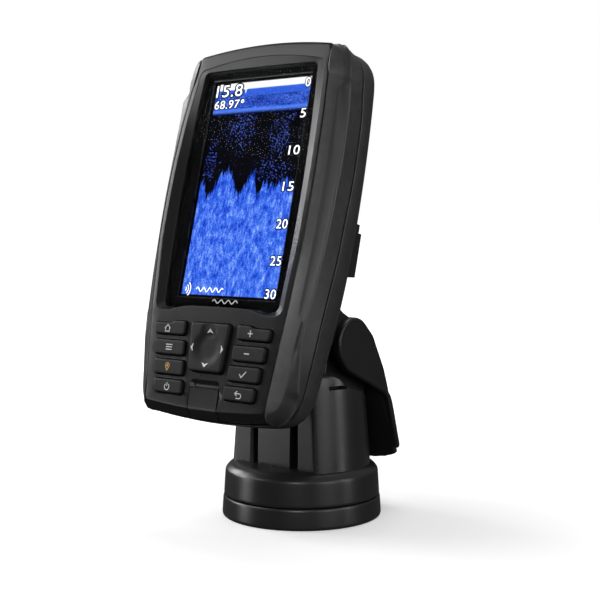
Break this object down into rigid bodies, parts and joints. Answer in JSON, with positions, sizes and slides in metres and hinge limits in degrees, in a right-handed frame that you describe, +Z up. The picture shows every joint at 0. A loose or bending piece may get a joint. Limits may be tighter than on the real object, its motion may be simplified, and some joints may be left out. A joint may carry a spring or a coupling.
{
  "type": "fish finder",
  "caption": "Portrait fish finder with a lit display, keypad and card door, on a cradle that tilts and swivels on a round screw-down stand with a cable hole.",
  "frame": {"origin": "centre of the base plate on its underside", "axes": "+Z up along the swivel axis; the display faces -Y; +X is to the right of a person facing the display"},
  "size_m": [0.098, 0.1081, 0.209],
  "materials": {
    "case_charcoal": "fine moulded texture",
    "stand_black": "satin moulded",
    "latch_black": "satin moulded",
    "key_silicone": "matte, printed icons",
    "mat_silicone": "matte",
    "lens_glass": "polished with a black printed border",
    "display_panel": "lit sonar picture",
    "backlight_white": "white reflector",
    "tray_steel": "stamped sheet",
    "screw_steel": "stainless",
    "pin_steel": "ground",
    "acetal": "natural acetal",
    "connector_black": "moulded",
    "board_green": "solder mask",
    "film_brown": "film",
    "ceramic": "fired",
    "ferrite": "wound ferrite",
    "socket_ivory": "moulded",
    "card_metal": "stamped sheet"
  },
  "bodies": {
    "base": {"base_plate": "stand_black", "swivel_washer": "acetal"},
    "swivel": {"swivel_column": "stand_black", "retainer_ring": "latch_black", "retainer_screws": "screw_steel", "tilt_bushes": "acetal", "tilt_axle": "pin_steel"},
    "head": {"tilt_arm": "stand_black", "cradle": "stand_black", "cradle_screws": "screw_steel", "power_socket": "connector_black", "transducer_socket": "connector_black", "cradle_plug": "connector_black", "latch_springs": "pin_steel", "front_fascia": "case_charcoal", "mid_frame": "case_charcoal", "rear_housing": "case_charcoal", "housing_gasket": "mat_silicone", "housing_screws": "screw_steel", "screen_lens": "lens_glass", "lens_adhesive": "film_brown", "lcd_gasket": "mat_silicone", "lcd_panel": "display_panel", "backlight": "backlight_white", "lcd_tray": "tray_steel", "tray_screws": "screw_steel", "lcd_cable": "film_brown", "main_board": "board_green", "board_screws": "screw_steel", "shield_can": "tray_steel", "board_chips": "connector_black", "sonar_transformer": "ferrite", "gps_antenna": "ceramic", "beeper": "connector_black", "head_socket": "connector_black", "board_connector": "socket_ivory", "keypad_board": "board_green", "dome_switches": "tray_steel", "keypad_mat": "mat_silicone", "rocker_post": "pin_steel", "card_socket": "card_metal", "card_door_pin": "pin_steel", "friction_washers": "acetal"},
    "latch": {"release_latch": "latch_black", "latch_screws": "screw_steel"},
    "rocker_ring": {"rocker_hub": "pin_steel"},
    "rocker": {"rocker_pad": "key_silicone"},
    "door": {"card_door": "case_charcoal"},
    "key_home_button": {"key_home": "key_silicone"},
    "key_menu_button": {"key_menu": "key_silicone"},
    "key_mark_button": {"key_mark": "key_silicone"},
    "key_power_button": {"key_power": "key_silicone"},
    "key_plus_button": {"key_plus": "key_silicone"},
    "key_minus_button": {"key_minus": "key_silicone"},
    "key_select_button": {"key_select": "key_silicone"},
    "key_back_button": {"key_back": "key_silicone"}
  },
  "joints": [
    {"name": "swivel_turn", "type": "hinge", "parent": "base", "child": "swivel", "pos_m": [0, 0, 0.0094], "axis": [0, 0, 1], "continuous": true},
    {"name": "head_tilt", "type": "hinge", "parent": "swivel", "child": "head", "pos_m": [0, 0.0034, 0.079], "axis": [-1, 0, 0], "range_deg": [-12, 2]},
    {"name": "latch_lift", "type": "slide", "parent": "head", "child": "latch", "axis": [0, 0.25, 0.9682], "range_m": [0, 0.002], "stiffness_N_per_m": 700, "springref_m": -0.002, "deforming": ["latch_springs"]},
    {"name": "rocker_up_down", "type": "hinge", "parent": "head", "child": "rocker_ring", "pos_m": [0, -0.05673, 0.07942], "axis": [1, 0, 0], "range_deg": [-1.5, 1.5], "stiffness_Nm_per_rad": 0.12},
    {"name": "rocker_left_right", "type": "hinge", "parent": "rocker_ring", "child": "rocker", "pos_m": [0, -0.05673, 0.07942], "axis": [0, 0.25, 0.9682], "range_deg": [-1.5, 1.5], "stiffness_Nm_per_rad": 0.12},
    {"name": "door_hinge", "type": "hinge", "parent": "head", "child": "door", "pos_m": [0, -0.06455, 0.05314], "axis": [1, 0, 0], "range_deg": [0, 75]},
    {"name": "key_home_press", "type": "slide", "parent": "head", "child": "key_home_button", "axis": [0, 0.9682, -0.25], "range_m": [0, 0.0004], "stiffness_N_per_m": 1200, "springref_m": -0.0002},
    {"name": "key_menu_press", "type": "slide", "parent": "head", "child": "key_menu_button", "axis": [0, 0.9682, -0.25], "range_m": [0, 0.0004], "stiffness_N_per_m": 1200, "springref_m": -0.0002},
    {"name": "key_mark_press", "type": "slide", "parent": "head", "child": "key_mark_button", "axis": [0, 0.9682, -0.25], "range_m": [0, 0.0004], "stiffness_N_per_m": 1200, "springref_m": -0.0002},
    {"name": "key_power_press", "type": "slide", "parent": "head", "child": "key_power_button", "axis": [0, 0.9682, -0.25], "range_m": [0, 0.0004], "stiffness_N_per_m": 1200, "springref_m": -0.0002},
    {"name": "key_plus_press", "type": "slide", "parent": "head", "child": "key_plus_button", "axis": [0, 0.9682, -0.25], "range_m": [0, 0.0004], "stiffness_N_per_m": 1200, "springref_m": -0.0002},
    {"name": "key_minus_press", "type": "slide", "parent": "head", "child": "key_minus_button", "axis": [0, 0.9682, -0.25], "range_m": [0, 0.0004], "stiffness_N_per_m": 1200, "springref_m": -0.0002},
    {"name": "key_select_press", "type": "slide", "parent": "head", "child": "key_select_button", "axis": [0, 0.9682, -0.25], "range_m": [0, 0.0004], "stiffness_N_per_m": 1200, "springref_m": -0.0002},
    {"name": "key_back_press", "type": "slide", "parent": "head", "child": "key_back_button", "axis": [0, 0.9682, -0.25], "range_m": [0, 0.0004], "stiffness_N_per_m": 1200, "springref_m": -0.0002}
  ]
}
